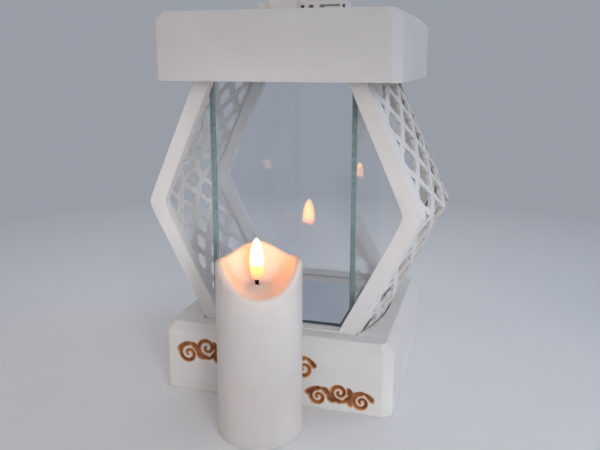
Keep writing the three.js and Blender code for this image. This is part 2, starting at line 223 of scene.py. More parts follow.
def steel_material():
    m = Nodes("screw_steel", (0.56, 0.56, 0.57), 0.35, Metallic=1.0)
    m.colour(m.ramp(m.noise(160, 4), (0.3, (0.42, 0.42, 0.43)), (0.7, (0.66, 0.66, 0.67))))
    m.roughness(m.span(m.noise(260), 0.3, 0.7, 0.25, 0.5))
    m.bump(m.noise(1200), 0.00005)
    return m.material


def plastic_material(name, base, dark, roughness):
    """Moulded plastic with a fine spark texture and handling marks."""
    m = Nodes(name, base, roughness)
    m.colour(m.mix(m.span(m.noise(30, 4), 0.4, 0.7, 0, 1), base, dark))
    m.roughness(m.span(m.noise(80), 0.3, 0.7, roughness - 0.07, roughness + 0.12))
    m.bump(m.noise(1600, 2), 0.00008)
    return m.material


PANE_HEAD_ON = 0.038
PANE_GRAZING = 0.9
PANE_FALLOFF = 5


def pane_material():
    """Clear sheet glass that lets the view through with a cool tint and mirrors at its skin."""
    m = Nodes("clear_glass", (0.8, 0.88, 0.9), 0.03)
    clear = m.new("BsdfTransparent", Color=(0.98, 0.986, 0.993, 1))
    gloss = m.new("BsdfGlossy", Color=(1, 1, 1, 1))
    m.link(m.span(m.noise(25, 3), 0.3, 0.7, 0.0, 0.02), gloss.inputs["Roughness"])
    slant = m.new("LayerWeight", Blend=0.5)
    steep = m.new("Math")
    steep.operation = "POWER"
    m.link(slant.outputs["Facing"], steep.inputs[0])
    steep.inputs[1].default_value = PANE_FALLOFF
    both = m.new("MixShader")
    m.link(m.span(steep.outputs[0], 0, 1, PANE_HEAD_ON, PANE_GRAZING), both.inputs[0])
    m.link(clear.outputs[0], both.inputs[1])
    m.link(gloss.outputs[0], both.inputs[2])
    m.tree.nodes.remove(m.shader)
    m.link(both.outputs[0], m.tree.nodes["Material Output"].inputs["Surface"])
    return m.material


def pane_edge_material():
    """The green edge of cut sheet glass."""
    m = Nodes("glass_edge", (0.2, 0.28, 0.28), 0.25)
    tone = m.ramp(m.noise(30, 4, (1, 1, 0.3)), (0.25, (0.11, 0.19, 0.185)),
                  (0.6, (0.19, 0.275, 0.27)), (0.85, (0.30, 0.38, 0.37)))
    m.colour(tone)
    m.set("Coat Weight", 0.6)
    m.roughness(m.span(m.noise(300), 0.3, 0.7, 0.18, 0.4))
    m.bump(m.noise(500), 0.0001)
    return m.material


def mirror_material():
    m = Nodes("mirror_glass", (0.8, 0.84, 0.88), 0.03, Metallic=1.0)
    m.colour(m.ramp(m.noise(20, 3), (0.3, (0.78, 0.82, 0.86)), (0.7, (0.84, 0.87, 0.90))))
    m.roughness(m.span(m.noise(45, 4), 0.35, 0.75, 0.015, 0.09))
    return m.material


def mirror_edge_material():
    m = Nodes("mirror_edge", (0.02, 0.025, 0.028), 0.4)
    m.colour(m.ramp(m.noise(200), (0.3, (0.014, 0.018, 0.02)), (0.8, (0.05, 0.07, 0.075))))
    m.roughness(m.span(m.noise(300), 0.3, 0.7, 0.3, 0.55))
    return m.material


def wax_material():
    """Ivory wax, a little cloudy: pale low down, with a painted warm glow towards the rim for the
    flame's light shining through the thin wax.
    """
    m = Nodes("wax", (0.80, 0.76, 0.70), 0.55)
    drift = m.span(m.noise(22, 5), 0.35, 0.7, 0, 1)
    cloud = m.mix(drift, (0.68, 0.635, 0.605), (0.62, 0.58, 0.555))
    # Painted glow: a warmer tint towards the rim stands in for the flame's light in the wax.
    rim_glow_paint = m.span(m.height(), 0.112, 0.148, 0, 0.25)
    m.colour(m.mix(rim_glow_paint, cloud, (0.70, 0.52, 0.36)))
    m.set("Subsurface Weight", 0.4)
    m.set("Subsurface Radius", (1.0, 0.55, 0.25))
    m.set("Subsurface Scale", 0.010)
    m.roughness(m.span(m.noise(60, 4), 0.3, 0.7, 0.45, 0.65))
    m.bump(m.noise(45, 4, (1, 1, 0.4)), 0.0006)
    m.bump(m.noise(700, 2), 0.00008)
    return m.material


FLAME_STRENGTH = 18.0


def flame_material():
    """The lamp's frosted flame: white-hot above, yellow and then peach towards its foot."""
    m = Nodes("flame_resin", (1, 0.85, 0.55), 0.4)
    low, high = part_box("flame")
    rise = m.span(m.height(), low[2], high[2], 0, 1)
    glow = m.ramp(rise, (0.0, (0.050, 0.028, 0.014)), (0.09, (0.056, 0.034, 0.017)),
                  (0.18, (0.17, 0.046, 0.014)), (0.30, (0.46, 0.070, 0.018)),
                  (0.42, (0.90, 0.28, 0.055)), (0.52, (1.0, 0.42, 0.085)),
                  (1.0, (1.0, 0.41, 0.080)))
    m.colour(m.mix(0.5, glow, (0.10, 0.08, 0.06)))
    m.link(glow, m.shader.inputs["Emission Color"])
    m.set("Emission Strength", FLAME_STRENGTH)
    m.roughness(m.span(m.noise(150), 0.3, 0.7, 0.35, 0.5))
    return m.material


def wick_material():
    m = Nodes("wick_fibre", (0.03, 0.024, 0.02), 0.9)
    m.colour(m.ramp(m.noise(500, 4), (0.3, (0.002, 0.0014, 0.001)), (0.75, (0.010, 0.006, 0.004))))
    m.set("Specular IOR Level", 0.1)
    m.bump(m.noise(900, 3), 0.0003)
    return m.material


def battery_material():
    """A cell's printed jacket without any print: dark with a paler band near its head."""
    m = Nodes("battery_case", (0.05, 0.055, 0.06), 0.3, Metallic=0.4)
    jacket = (0.05, 0.055, 0.06)
    band = m.ramp(m.height(), (0.0, jacket), (0.045, jacket), (0.046, (0.5, 0.34, 0.12)))
    m.colour(m.mix(m.span(m.noise(90), 0.4, 0.7, 0, 0.3), band, (0.12, 0.12, 0.13)))
    m.roughness(m.span(m.noise(150), 0.3, 0.7, 0.22, 0.4))
    return m.material


def circuit_material():
    m = Nodes("circuit_green", (0.03, 0.16, 0.06), 0.4)
    m.colour(m.ramp(m.noise(260, 2), (0.4, (0.02, 0.12, 0.04)), (0.6, (0.05, 0.24, 0.09))))
    m.bump(m.noise(400), 0.0001)
    return m.material


PAINTED_FALLOFF_START = 0.3
PAINTED_FALLOFF_END = 0.85


def floor_material():
    """Pale card, lit by the lamps near the object, that fades into a glow of the backdrop's own colour
    well away from it: a painted falloff of the light.
    """
    m = Nodes("floor", (0.8, 0.8, 0.81), 0.7)
    m.colour(m.mix(m.span(m.noise(3, 4), 0.3, 0.7, 0, 1), (0.83, 0.83, 0.835), (0.80, 0.80, 0.81)))
    # Painted falloff: the farther from the object, the more the floor turns into the backdrop's glow.
    distance = m.new("VectorMath")
    distance.operation = "LENGTH"
    m.link(m.place(), distance.inputs[0])
    glow = m.new("Emission", Color=(*BACKDROP, 1), Strength=1)
    both = m.new("MixShader")
    m.link(m.span(distance.outputs["Value"], PAINTED_FALLOFF_START, PAINTED_FALLOFF_END, 0, 1), both.inputs[0])
    m.link(m.shader.outputs[0], both.inputs[1])
    m.link(glow.outputs[0], both.inputs[2])
    m.link(both.outputs[0], m.tree.nodes["Material Output"].inputs["Surface"])
    return m.material


PAINT = paint_material("white_paint")
CARVED = paint_material("white_paint_carved", scorched=True)
HOLE_WALL_SHADE = hole_wall_shade_material()
BOARD = board_material()
STEEL = steel_material()
PANE = pane_material()
PANE_EDGE = pane_edge_material()
MIRROR = mirror_material()
MIRROR_EDGE = mirror_edge_material()
WAX = wax_material()
WHITE_PLASTIC = plastic_material("white_plastic", (0.70, 0.70, 0.68), (0.60, 0.60, 0.57), 0.42)
BLACK_PLASTIC = plastic_material("black_plastic", (0.02, 0.02, 0.02), (0.045, 0.045, 0.045), 0.45)
FLAME = flame_material()
WICK = wick_material()
BATTERY = battery_material()
CIRCUIT = circuit_material()
LAMP = plastic_material("lamp_resin", (0.85, 0.70, 0.42), (0.75, 0.55, 0.30), 0.2)


# ---- mesh helpers ----
def piece(name, mesh, body, node_names, slot, *materials, smooth):
    """Puts a mesh in the scene as a piece that rides on a body and stands for CAD nodes.

    smooth is the angle in degrees from which an edge is shaded as a sharp one.
    """
    obj = bpy.data.objects.new(name, mesh)
    bpy.context.scene.collection.objects.link(obj)
    for material in materials:
        mesh.materials.append(material)
    shade(mesh, smooth)
    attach(obj, body)
    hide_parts(*node_names)
    return obj


LARGE_FACE = 1.2e-4


def shade(mesh, angle):
    """Smooth shading with sharp edges above an angle in degrees; large faces stay flat."""
    bm = bmesh.new()
    bm.from_mesh(mesh)
    limit = math.radians(angle)
    for face in bm.faces:
        face.smooth = face.calc_area() < LARGE_FACE
    for edge in bm.edges:
        edge.smooth = len(edge.link_faces) == 2 and edge.calc_face_angle(0) < limit
    bm.to_mesh(mesh)
    bm.free()


def mesh_from(name, bm):
    mesh = bpy.data.meshes.new(name)
    bm.to_mesh(mesh)
    bm.free()
    return mesh


WELD = 1e-6
SHARP = 25


def rounded(bm, width, segments=2):
    """Rounds every sharp edge, and clears faces that this leaves without any width."""
    limit = math.radians(SHARP)
    edges = [e for e in bm.edges if len(e.link_faces) == 2 and e.calc_face_angle(0) > limit]
    bmesh.ops.bevel(bm, geom=edges, offset=width, segments=segments, profile=0.5,
                    affect="EDGES", clamp_overlap=True)
    bmesh.ops.dissolve_degenerate(bm, dist=WELD, edges=bm.edges)


def node_bmesh(node):
    """A clean copy of a CAD node's mesh, with its flat faces joined up again."""
    bm = bmesh.new()
    bm.from_mesh(NODES[node].data)
    bmesh.ops.remove_doubles(bm, verts=bm.verts, dist=WELD)
    bmesh.ops.dissolve_limit(bm, angle_limit=math.radians(0.5), verts=bm.verts, edges=bm.edges)
    return bm


def rounded_copy(name, node, body, slot, material, width):
    bm = node_bmesh(node)
    rounded(bm, width)
    piece(name, mesh_from(name, bm), body, [node], slot, material, smooth=30)


def box_bmesh(low, high):
    bm = bmesh.new()
    size = Vector(high) - Vector(low)
    middle = (Vector(high) + Vector(low)) / 2
    bmesh.ops.create_cube(bm, size=1, matrix=Matrix.Translation(middle) @ Matrix.Diagonal((*size, 1)))
    return bm


def ringed_bmesh(rings, centre, around):
    """A solid made of rings about Z through centre; its first and last rings are points.

    A ring is a list of (radius, z) pairs: one pair for a round ring, or one for each corner.
    """
    bm = bmesh.new()
    layers = []
    for ring in rings:
        layer = []
        for k in range(around if ring[0][0] else 1):
            radius, z = ring[k % len(ring)]
            angle = 2 * math.pi * k / around
            layer.append(bm.verts.new((centre[0] + radius * math.cos(angle),
                                       centre[1] + radius * math.sin(angle), z)))
        layers.append(layer)
    for low, high in zip(layers, layers[1:]):
        for k in range(around):
            j = (k + 1) % around
            corners = [low[k % len(low)], low[j % len(low)], high[j % len(high)], high[k % len(high)]]
            bm.faces.new(list(dict.fromkeys(corners)))
    bmesh.ops.recalc_face_normals(bm, faces=bm.faces)
    return bm


def turned_bmesh(profile, centre, around):
    """A solid of revolution from (radius, z) pairs; both ends lie on the axis."""
    return ringed_bmesh([[point] for point in profile], centre, around)


def middle_of(low, high):
    return (low[0] + high[0]) / 2, (low[1] + high[1]) / 2


# ---- base, with its burnt carving ----
# The two vines: from x, to x, middle height, height and number of waves.
BANDS = (
    (-0.091, 0.040, 0.0405, 0.0235, 7),
    (0.034, 0.093, 0.0148, 0.0195, 3),
)
CARVED_BOX = (-0.094, 0.0955, 0.0035, 0.0545)
STROKE = 2.1 * MM
CELL = 0.55 * MM
HALO = 1.0 * MM
GRAVE_DEPTH = 1.5 * MM
GRAVE_WALL = 1.1 * MM
BURN_FADE = 2.2 * MM
BURN_AT_EDGE = 0.45


# Strokes are lists of (x, z, half width) points, with the half width in units of STROKE.
def spiral(centre, radius, turns, start, hand):
    """A spiral from its outer end inwards, thinner towards its eye."""
    steps = 26
    eye = 0.14
    points = []
    for k in range(steps + 1):
        t = k / steps
        angle = start + hand * 2 * math.pi * turns * t
        reach = radius * (1 - (1 - eye) * t)
        points.append((centre[0] + reach * math.cos(angle), centre[1] + reach * math.sin(angle),
                       1.0 - 0.45 * t))
    return points


def leaf(x, z, length, angle):
    """A bent leaf that is widest at its middle."""
    steps = 9
    curl = 0.5
    points = []
    for k in range(steps + 1):
        t = k / steps
        bend = angle + curl * t
        points.append((x + length * t * math.cos(bend), z + length * t * math.sin(bend),
                       0.35 + 1.0 * math.sin(math.pi * t)))
    return points


def vine(x0, x1, z, height, waves):
    """A running vine between x0 and x1: a wavy stem, a spiral in each wave and leaves between."""
    swing = 0.30 * height
    curl = 0.42 * height
    strokes = []
    stem = []
    length = x1 - x0
    steps = waves * 24
    for k in range(steps + 1):
        t = k / steps
        lift = swing * math.sin(math.pi * waves * t)
        stem.append((x0 + length * t, z + lift, 0.8 + 0.35 * math.cos(2 * math.pi * waves * t)))
    strokes.append(stem)
    step = length / waves
    for k in range(waves):
        side = 1 if k % 2 == 0 else -1
        centre = (x0 + step * (k + 0.5), z - side * 0.16 * height)
        start = side * math.pi * 0.5
        strokes.append(spiral(centre, curl, 1.35, start, side))
        if k < waves - 1:
            root = x0 + step * (k + 0.98)
            strokes.append(leaf(root, z, curl, side * 1.9))
            strokes.append(leaf(root, z, curl, -side * 1.3))
    return strokes


def stroke_distance(strokes):
    """A function from (x, z) to how far inside a stroke the point is, in metres.

    Segments are kept by the square cells round them, so that each point tries only a few.
    """
    cell = 0.005
    near = {}
    for stroke in strokes:
        for (ax, az, aw), (bx, bz, bw) in zip(stroke, stroke[1:]):
            home = (math.floor(ax / cell), math.floor(az / cell))
            for i in (-1, 0, 1):
                for j in (-1, 0, 1):
                    rows = near.setdefault((home[0] + i, home[1] + j), [])
                    rows.append((ax, az, bx - ax, bz - az, aw, bw - aw))

    def inside(x, z):
        best = -cell
        for ax, az, dx, dz, aw, dw in near.get((math.floor(x / cell), math.floor(z / cell)), ()):
            span = dx * dx + dz * dz
            t = max(0.0, min(1.0, ((x - ax) * dx + (z - az) * dz) / span)) if span else 0.0
            gap = math.hypot(x - ax - t * dx, z - az - t * dz)
            best = max(best, STROKE * (aw + t * dw) - gap)
        return best

    return inside


def carve_front(bm, front_y):
    """Turns part of the front face into a fine grid, sinks the strokes into it and marks the burn."""
    burn = bm.verts.layers.float.new("burn")
    strokes = []
    for band in BANDS:
        strokes += vine(*band)
    inside = stroke_distance(strokes)
    x0, x1, z0, z1 = CARVED_BOX
    for vert in grid_front(bm, front_y):
        x, z = vert.co.x, vert.co.z
        border = min(x - x0, x1 - x, z - z0, z1 - z)
        depth = min(inside(x, z), border - HALO)
        vert[burn] = max(0.0, min(1.0, BURN_AT_EDGE + depth / BURN_FADE))
        if depth > 0:
            vert.co.y += GRAVE_DEPTH * min(1.0, depth / GRAVE_WALL)


def grid_front(bm, front_y):
    """Cuts CARVED_BOX out of the flat front and fills it with square cells; gives their corners."""
    x0, x1, z0, z1 = CARVED_BOX
    for point, normal in (((x0, 0, 0), (1, 0, 0)), ((x1, 0, 0), (1, 0, 0)),
                          ((0, 0, z0), (0, 0, 1)), ((0, 0, z1), (0, 0, 1))):
        faces = [f for f in bm.faces if abs(f.calc_center_median().y - front_y) < 1e-5]
        geometry = set(faces)
        for face in faces:
            geometry.update(face.edges)
            geometry.update(face.verts)
        bmesh.ops.bisect_plane(bm, geom=list(geometry), dist=1e-7, plane_co=point, plane_no=normal)
    middle = Vector(((x0 + x1) / 2, front_y, (z0 + z1) / 2))
    target = min(bm.faces, key=lambda f: (f.calc_center_median() - middle).length)
    return grid_fill(bm, target, round((x1 - x0) / CELL), round((z1 - z0) / CELL))


def grid_fill(bm, face, columns, rows):
    """Replaces one rectangular face by a grid of quads that shares its border."""
    edges = list(face.edges)
    upright = [e for e in edges if abs(e.verts[0].co.x - e.verts[1].co.x) < 1e-6]
    level = [e for e in edges if e not in upright]
    bmesh.ops.bisect_edges(bm, edges=level, cuts=columns - 1)
    bmesh.ops.bisect_edges(bm, edges=upright, cuts=rows - 1)
    xs = [v.co.x for v in face.verts]
    zs = [v.co.z for v in face.verts]
    x0, z0 = min(xs), min(zs)
    wide, tall = max(xs) - x0, max(zs) - z0
    y = face.verts[0].co.y
    border = {(round((v.co.x - x0) / wide * columns), round((v.co.z - z0) / tall * rows)): v
              for v in face.verts}
    bm.faces.remove(face)
    grid = [[border.get((i, j)) or bm.verts.new((x0 + wide * i / columns, y, z0 + tall * j / rows))
             for j in range(rows + 1)] for i in range(columns + 1)]
    for left, right in zip(grid, grid[1:]):
        for j in range(rows):
            bm.faces.new((left[j], right[j], right[j + 1], left[j + 1]))
    return [vert for column in grid for vert in column]


def make_base():
    bm = node_bmesh("base_block")
    rounded(bm, 0.8 * MM)
    low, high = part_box("base_block")
    carve_front(bm, low[1])
    piece("base_case", mesh_from("base_case", bm), "lantern", ["base_block"], "white_paint",
          CARVED, smooth=30)


# ---- mirror tile ----
def make_mirror():
    low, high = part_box("mirror_tile")
    bm = box_bmesh(low, high)
    rounded(bm, 0.5 * MM)
    bm.normal_update()
    for face in bm.faces:
        face.material_index = 0 if face.normal.z > 0.9 else 1
    piece("mirror_plate", mesh_from("mirror_plate", bm), "lantern", ["mirror_tile"],
          "mirror_glass", MIRROR, MIRROR_EDGE, smooth=30)


# ---- glass ----
def make_panes():
    for side, across in (("front", 1), ("back", 1), ("left", 0), ("right", 0)):
        node = f"glass_{side}"
        low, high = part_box(node)
        bm = box_bmesh(low, high)
        rounded(bm, 0.35 * MM, segments=1)
        bm.normal_update()
        for face in bm.faces:
            seen_through = abs(face.normal[across]) > 0.9 or side == "back" or face.normal.y > 0.5
            face.material_index = 0 if seen_through else 1
        name = f"pane_{side}"
        piece(name, mesh_from(name, bm), "lantern", [node], "clear_glass", PANE, PANE_EDGE,
              smooth=30)


# ---- hexagonal frames and pierced sides ----
# The outlines of part.mjs in metres. The pierced sheets are drawn flat, with y across and the
# rise from the fold along the slope, and then laid on the bowed surface.
BAR_TOP = 0.0662
OPENING_TOP = 0.2905
VERTEX_X = 0.1293
VERTEX_Z = 0.1755
SLOPES = {1: 0.443, -1: 0.514}
STRIP_X = 0.016
SHEET_X = 0.0028
VERTEX_SOFT = 0.004
FOLD_SOFT = 0.0015
FRAME_GAP = 0.0028
FRAME_Y = 0.081
BOW = 0.0154
BOW_FALL = 0.02
COLUMN_PITCH = 0.0176
ROW_PITCH = 0.017
RIGHT_SHIFT = -0.009
ZONE = 0.072
HOLE_TIP = 0.0130
LOBE_AT = 0.0049
LOBE_R = 0.0049
SEAM = 0.00005
FOLD = -0.004
FOLD_MARGIN = 0.001
THINNEST_HOLE = 0.0018
BEND_STEPS = 24
FRAME_EDGE = 0.0006


def flat_bmesh(outlines, thickness, edge):
    """A flat plate with holes, from closed outlines; its arrises are rounded by edge."""
    curve = bpy.data.curves.new("outline", "CURVE")
    curve.dimensions = "2D"
    curve.fill_mode = "BOTH"
    curve.extrude = thickness / 2 - edge
    if edge:
        curve.bevel_depth = edge
        curve.bevel_resolution = 1
        curve.offset = -edge
    for outline in outlines:
        spline = curve.splines.new("POLY")
        spline.points.add(len(outline) - 1)
        for point, (x, y) in zip(spline.points, outline):
            point.co = (x, y, 0, 1)
        spline.use_cyclic_u = True
    holder = bpy.data.objects.new("outline", curve)
    bpy.context.scene.collection.objects.link(holder)
    depsgraph = bpy.context.evaluated_depsgraph_get()
    mesh = bpy.data.meshes.new_from_object(holder.evaluated_get(depsgraph))
    bpy.data.objects.remove(holder)
    bm = bmesh.new()
    bm.from_mesh(mesh)
    bpy.data.meshes.remove(mesh)
    bmesh.ops.remove_doubles(bm, verts=bm.verts, dist=2 * WELD)
    return bm


def hexagon_x(z, soft=VERTEX_SOFT):
    """The hexagon's half width at a height, with its side corners a little rounded."""
    slope = SLOPES[1 if z > VERTEX_Z else -1]
    mean = sum(SLOPES.values()) / 2
    rise = math.hypot(z - VERTEX_Z, soft) - soft
    return VERTEX_X - rise * slope - soft * mean


def hexagon_outline(inset, z0, z1):
    """A hexagon between two heights, with closer points where its side corners are rounded."""
    above = (1.5, 3.5, 6, 10, 16)
    steps = [-step for step in reversed(above)] + [0, *above]
    near = [VERTEX_Z + step * MM for step in steps]
    right = [(hexagon_x(z) - inset, z) for z in (z0, *near, z1)]
    return right + [(-x, z) for x, z in reversed(right)]


def make_hexagon(side):
    """A frame; inside its outer face it stands a little clear of the pierced sheets."""
    node = f"{side}_frame"
    low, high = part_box(node)
    outlines = [hexagon_outline(3 * SEAM, low[2], high[2]),
                hexagon_outline(STRIP_X, BAR_TOP, OPENING_TOP)]
    bm = flat_bmesh(outlines, high[1] - low[1], FRAME_EDGE)
    middle = (low[1] + high[1]) / 2
    inward = -1 if side == "back" else 1
    for vert in bm.verts:
        x, z, y = vert.co
        if inward * y > 0 and abs(x) > hexagon_x(z) - STRIP_X / 2:
            x -= math.copysign(FRAME_GAP, x)
        vert.co = (x, middle + y, z)
    bmesh.ops.recalc_face_normals(bm, faces=bm.faces)
    piece(f"{side}_hexagon", mesh_from(node, bm), "lantern", [node], "white_paint", PAINT,
          smooth=35)


def hole_outline(y, rise):
    """Four pointed tips with a round lobe between each pair, joined by slightly hollow flanks."""
    lobe_angles = (5, 18, 32)
    centre = Vector((LOBE_AT, LOBE_AT)) / math.sqrt(2)
    tip = Vector((HOLE_TIP, 0))

    def lobe(degrees):
        angle = math.radians(degrees)
        return centre + LOBE_R * Vector((math.cos(angle), math.sin(angle)))

    start = lobe(lobe_angles[0])
    pull = Vector((start.x + 0.0012, start.y * 0.42))
    flank = [tip.lerp(pull, t).lerp(pull.lerp(start, t), t) for t in (0, 0.3, 0.65)]
    half = flank + [lobe(angle) for angle in lobe_angles]
    quarter = half + [Vector((p.y, p.x)) for p in reversed(half[1:])]
    points = []
    for turn in range(4):
        spin = Matrix.Rotation(turn * math.pi / 2, 2)
        points += [Vector((y, rise)) + spin @ p for p in quarter]
    return points


def clipped(points, axis, limit, keep_below):
    """The part of a closed outline on one side of a line."""
    sign = 1 if keep_below else -1
    result = []
    for a, b in zip(points, points[1:] + points[:1]):
        da, db = sign * (limit - a[axis]), sign * (limit - b[axis])
        if da >= 0:
            result.append(a)
        if da * db < 0:
            result.append(a + (b - a) * (da / (da - db)))
    return result


def spread(points):
    """How far an outline reaches across."""
    across = [p[0] for p in points]
    return max(across) - min(across) if points else 0


def sheet_point(side, up, y, rise, through):
    """Maps a point of the flat sheet to its place; through runs from 0 outside to 1 inside."""
    z = VERTEX_Z + up * rise / math.hypot(1, SLOPES[up])
    deepest = BOW - (z - VERTEX_Z) * BOW_FALL
    edge = (y / FRAME_Y) ** 2
    soft = FOLD_SOFT + (VERTEX_SOFT - FOLD_SOFT) * edge
    x = hexagon_x(z, soft) + deepest * (1 - edge) - SHEET_X * through
    return side * x, y, z


def pierced_outlines(side, top_rise):
    """The sheet's own outline, just past the fold, and the outlines of its rows of holes."""
    edge = FRAME_Y - 2 * SEAM
    corners = ((-edge, FOLD), (edge, FOLD), (edge, top_rise), (-edge, top_rise))
    outlines = [[Vector(corner) for corner in corners]]
    shift = RIGHT_SHIFT if side > 0 else 0
    for column in range(-4, 5):
        rise = 0 if column % 2 == 0 else ROW_PITCH
        while rise < top_rise - HOLE_TIP:
            hole = hole_outline(shift + column * COLUMN_PITCH, rise)
            hole = clipped(clipped(hole, 0, ZONE, True), 0, -ZONE, False)
            hole = clipped(hole, 1, FOLD + FOLD_MARGIN, False)
            if spread(hole) > THINNEST_HOLE:
                outlines.append(hole)
            rise += 2 * ROW_PITCH
    return outlines


def slice_across(bm, point, normal, **options):
    """Cuts a whole mesh with a plane."""
    return bmesh.ops.bisect_plane(bm, geom=bm.verts[:] + bm.edges[:] + bm.faces[:], dist=1e-6,
                                  plane_co=point, plane_no=normal, **options)


def make_lattice(side_name, up_name):
    """A pierced sheet: cut out flat, cut off at the fold, and then bent over its bowed surface."""
    side = 1 if side_name == "right" else -1
    up = 1 if up_name == "upper" else -1
    node = f"lattice_{up_name}_{side_name}"
    low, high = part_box(node)
    top_rise = (high[2] - VERTEX_Z if up > 0 else VERTEX_Z - low[2]) * math.hypot(1, SLOPES[up])
    bm = flat_bmesh(pierced_outlines(side, top_rise), SHEET_X, 0)
    bm.normal_update()
    for face in bm.faces:
        # Hole walls take the darker material: painted shade inside the holes.
        wall = abs(face.normal.z) < 0.5 and abs(face.calc_center_median().x) < ZONE + MM
        face.material_index = 1 if wall else 0
    cut = slice_across(bm, (0, SEAM, 0), (0, -1, 0), clear_outer=True)
    rim = [e for e in cut["geom_cut"] if isinstance(e, bmesh.types.BMEdge)]
    bmesh.ops.holes_fill(bm, edges=rim, sides=0)
    for k in range(1, BEND_STEPS):
        slice_across(bm, (-FRAME_Y + 2 * FRAME_Y * k / BEND_STEPS, 0, 0), (1, 0, 0))
    for vert in bm.verts:
        y, rise, level = vert.co
        vert.co = sheet_point(side, up, y, rise, 0.5 - level / SHEET_X)
    bmesh.ops.recalc_face_normals(bm, faces=bm.faces)
    name = f"pierced_{up_name}_{side_name}"
    piece(name, mesh_from(name, bm), "lantern", [node], "white_paint", PAINT, HOLE_WALL_SHADE, smooth=35)


# ---- lid ----
def make_lid():
    rounded_copy("lid_case", "lid_block", "lid", "white_paint", PAINT, 0.8 * MM)
    rounded_copy("handle_bar", "handle_rail", "lid", "white_paint", PAINT, 0.6 * MM)
    rounded_copy("handle_block", "handle_post", "lid", "white_paint", PAINT, 0.9 * MM)


# ---- screws ----
SCREW_SIDES = 40
SCREW_HEAD = 2.4 * MM
RECESS = 1.1 * MM
RECESS_ARM = 0.42 * MM
THREAD_TURNS = 9
THREAD_SHAPE = (1, 0.84, 0.72, 0.84)
POINT_FROM = 0.86


def cross_outline(reach):
    """The radius of a cross recess at each of the head's sides."""
    radii = []
    for k in range(SCREW_SIDES):
        angle = 2 * math.pi * k / SCREW_SIDES
        nearest = min(abs(math.cos(angle)), abs(math.sin(angle)))
        radii.append(min(reach, RECESS_ARM / max(nearest, 1e-6)))
    return radii


def head_rings(head, shank):
    """From the middle of the recess out over the head and in to the shank."""
    radii = cross_outline(head * 0.58)
    return [[(0.0, RECESS)], [(r * 0.55, RECESS) for r in radii], [(r, 0.0) for r in radii],
            [(head * 0.97, 0.0)], [(head, 0.2 * MM)], [(shank, SCREW_HEAD)]]


def thread_rings(shank, length):
    """The ridged shank, narrowing to its point."""
    rings = []
    rows = THREAD_TURNS * len(THREAD_SHAPE)
    for k in range(1, rows + 1):
        t = k / rows
        narrowing = 0.85 * max(0, t - POINT_FROM) / (1 - POINT_FROM)
        radius = shank * THREAD_SHAPE[k % len(THREAD_SHAPE)] * (1 - narrowing)
        rings.append([(radius, SCREW_HEAD + (length - SCREW_HEAD) * t * 0.995)])
    rings.append([(0.0, length)])
    return rings


def make_screw(node, body):
    """A countersunk screw, head down, with a cross recess and a threaded shank."""
    low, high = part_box(node)
    head = (high[1] - low[1]) / 2
    shank = head * 0.52
    rings = head_rings(head, shank) + thread_rings(shank, high[2] - low[2])
    raised = [[(radius, low[2] + z) for radius, z in ring] for ring in rings]
    bm = ringed_bmesh(raised, middle_of(low, high), SCREW_SIDES)
    name = node.replace("screw", "cross_screw")
    piece(name, mesh_from(name, bm), body, [node], "screw_steel", STEEL, smooth=35)


def make_screws():
    for owner, body in (("base", "lantern"), ("lid", "lid")):
        for corner in ("front_left", "front_right", "back_left", "back_right"):
            make_screw(f"{owner}_screw_{corner}", body)
    for end in ("left", "right"):
        make_screw(f"handle_screw_{end}", "lid")


def make_boards():
    rounded_copy("base_closing_board", "base_bottom_plate", "lantern", "bare_board", BOARD, 0.4 * MM)
    rounded_copy("lid_closing_board", "lid_inner_board", "lid", "white_paint", PAINT, 0.4 * MM)


def ridged_copy(name, node, body, slot, material, count, reach, depth, along):
    """A rounded copy with shallow grip ridges on its underside, in a row along axis 0 or 1."""
    low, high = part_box(node)
    bm = node_bmesh(node)
    rounded(bm, 0.25 * MM)
    middle = [(a + b) / 2 for a, b in zip(low, high)]
    across = 1 - along
    for k in range(count):
        offset = (k - (count - 1) / 2) * 3 * depth
        start, end = list(middle), list(middle)
        start[along] += offset - depth * 0.7
        end[along] += offset + depth * 0.7
        start[across] -= reach
        end[across] += reach
        start[2] = low[2] - depth * 0.9
        end[2] = low[2] + depth
        ridge = box_bmesh(start, end)
        rounded(ridge, depth * 0.45)
        mesh = mesh_from("ridge", ridge)
        bm.from_mesh(mesh)
        bpy.data.meshes.remove(mesh)
    piece(name, mesh_from(name, bm), body, [node], slot, material, smooth=35)


# ---- candle ----
CANDLE_CENTRE = (0.0048, -0.145)
CANDLE_R = 0.0355
BOWL_Z = 0.125
RIM_MEAN = 0.1434
RIM_WAVES = (0.0117, -0.004, 0.0034, 0.0016, -0.0002)
RIM_PEAK = math.radians(113)
LIP = 3.3 * MM
FOOT_EDGE = 1.1 * MM
BOWL_CURVE = 2.3
MOUND = 2.9 * MM
MOUND_R = 7.5 * MM
WICK_HOLE = 2.2 * MM
LAMP_BORE_R = 5.2 * MM
LAMP_BORE_TOP = 0.1236
HOLLOW_R = 0.0303
HOLLOW_TOP = 0.1
FOOT_Z = 0.05 * MM


def rim_height(angle):
    """The rim's wavy height, as a mean and a few harmonics about its peak."""
    turn = angle - RIM_PEAK
    return RIM_MEAN + sum(w * math.cos((k + 1) * turn) for k, w in enumerate(RIM_WAVES))


def outer_wall(rim):
    """The rounded foot, the wall and the lip."""
    steps = 22
    points = [(CANDLE_R - 0.9 * MM, FOOT_Z), (CANDLE_R - 0.3 * MM, 0.3 * MM), (CANDLE_R, FOOT_EDGE)]
    points += [(CANDLE_R, FOOT_EDGE + (rim - LIP - FOOT_EDGE) * k / steps) for k in range(1, steps + 1)]
    lip_steps = 9
    for k in range(1, lip_steps):
        turn = math.pi * k / lip_steps
        points.append((CANDLE_R - LIP + LIP * math.cos(turn), rim - LIP + LIP * math.sin(turn)))
    return points


